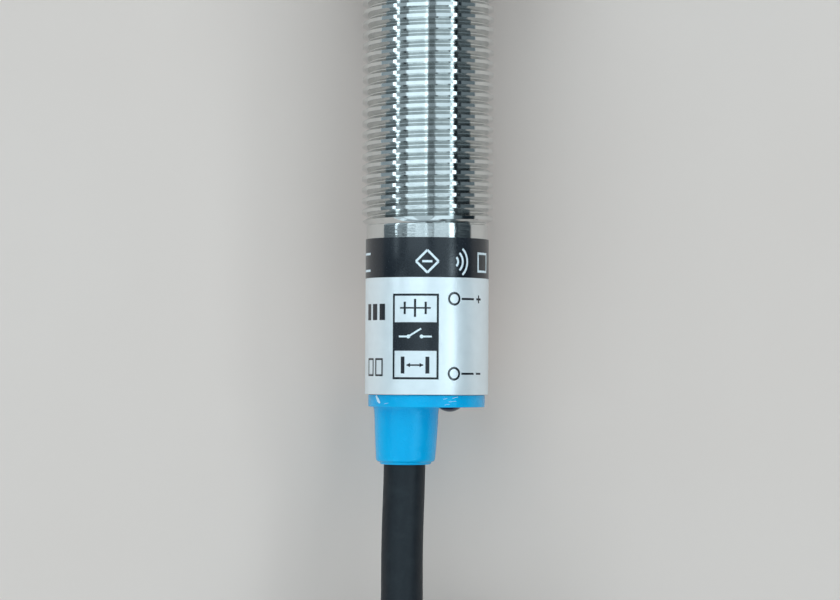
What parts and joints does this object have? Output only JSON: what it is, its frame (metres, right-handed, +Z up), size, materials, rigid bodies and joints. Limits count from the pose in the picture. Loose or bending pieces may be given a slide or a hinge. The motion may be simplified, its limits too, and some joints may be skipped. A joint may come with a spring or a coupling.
{
  "type": "inductive proximity sensor",
  "caption": "Threaded round inductive proximity sensor with two panel nuts, toothed washers, an indicator light and a coiled two-wire cable.",
  "frame": {"origin": "centre of the sensor's bounding box seen from above, without the free cable, on the surface that the nuts' flats rest on", "axes": "+Y along the barrel towards the sensing face, +Z up through the nuts' flats, +X to the right of the indicator side"},
  "size_m": [0.0342, 0.162, 0.0176],
  "materials": {
    "nickel_plate": "bright nickel plate over brass, slightly brushed by the threading",
    "washer_steel": "zinc-plated spring steel",
    "blue_plastic": "moulded PBT, satin grain",
    "label_foil": "silver polyester foil with a black printed band",
    "led_lens": "tinted epoxy lens, unlit",
    "ferrite": "sintered ferrite",
    "bobbin_plastic": "moulded nylon",
    "copper": "enamelled copper wire",
    "board_laminate": "glass-epoxy laminate with solder mask",
    "black_epoxy": "moulded epoxy",
    "diode_glass": "orange-tinted glass with tinned caps",
    "tantalum_epoxy": "moulded epoxy",
    "ceramic": "sintered ceramic",
    "tin_plate": "tinned copper",
    "potting_resin": "cast epoxy resin",
    "grey_jacket": "flexible PVC",
    "brown_pvc": "PVC insulation",
    "blue_pvc": "PVC insulation",
    "tie_plastic": "plastic-coated twist tie"
  },
  "bodies": {
    "sensor": {"barrel": "nickel_plate", "sensing_cap": "blue_plastic", "rear_cap": "blue_plastic", "label": "label_foil", "indicator_led": "led_lens", "ferrite_core": "ferrite", "coil_bobbin": "bobbin_plastic", "coil_winding": "copper", "coil_lead_start": "copper", "coil_lead_end": "copper", "circuit_board": "board_laminate", "oscillator_ic": "black_epoxy", "output_transistor": "black_epoxy", "protection_diode": "black_epoxy", "zener_diode": "diode_glass", "smoothing_capacitor": "tantalum_epoxy", "tuning_capacitor": "ceramic", "sensitivity_resistor": "black_epoxy", "feedback_resistor": "black_epoxy", "bias_resistor": "black_epoxy", "led_resistor": "black_epoxy", "led_lead_anode": "tin_plate", "led_lead_cathode": "tin_plate", "brown_core": "brown_pvc", "blue_core": "blue_pvc", "potting_plug": "potting_resin", "cable_jacket": "grey_jacket", "cable_hank": "grey_jacket", "cable_tie": "tie_plastic", "brown_lead": "brown_pvc", "blue_lead": "blue_pvc", "brown_tinned_end": "tin_plate", "blue_tinned_end": "tin_plate"},
    "front_washer": {"front_washer": "washer_steel"},
    "front_nut": {"front_nut": "nickel_plate"},
    "rear_washer": {"rear_washer": "washer_steel"},
    "rear_nut": {"rear_nut": "nickel_plate"}
  },
  "joints": [
    {"name": "front_washer_slide", "type": "slide", "parent": "sensor", "child": "front_washer", "axis": [0, 1, 0], "range_m": [-0.0013, 0.0016]},
    {"name": "front_nut_turn", "type": "hinge", "parent": "front_washer", "child": "front_nut", "pos_m": [0, 0.02165, 0.0085], "axis": [0, 1, 0], "range_deg": [-432, 540]},
    {"name": "rear_washer_slide", "type": "slide", "parent": "sensor", "child": "rear_washer", "axis": [0, 1, 0], "range_m": [-0.0216, 0.0013]},
    {"name": "rear_nut_turn", "type": "hinge", "parent": "rear_washer", "child": "rear_nut", "pos_m": [0, 0.01255, 0.0085], "axis": [0, 1, 0], "range_deg": [-7740, 432]}
  ],
  "couplings": [
    {"joint": "front_washer_slide", "follows": "front_nut_turn", "m_per_rad": 0.00015915},
    {"joint": "rear_washer_slide", "follows": "rear_nut_turn", "m_per_rad": 0.00015915}
  ]
}
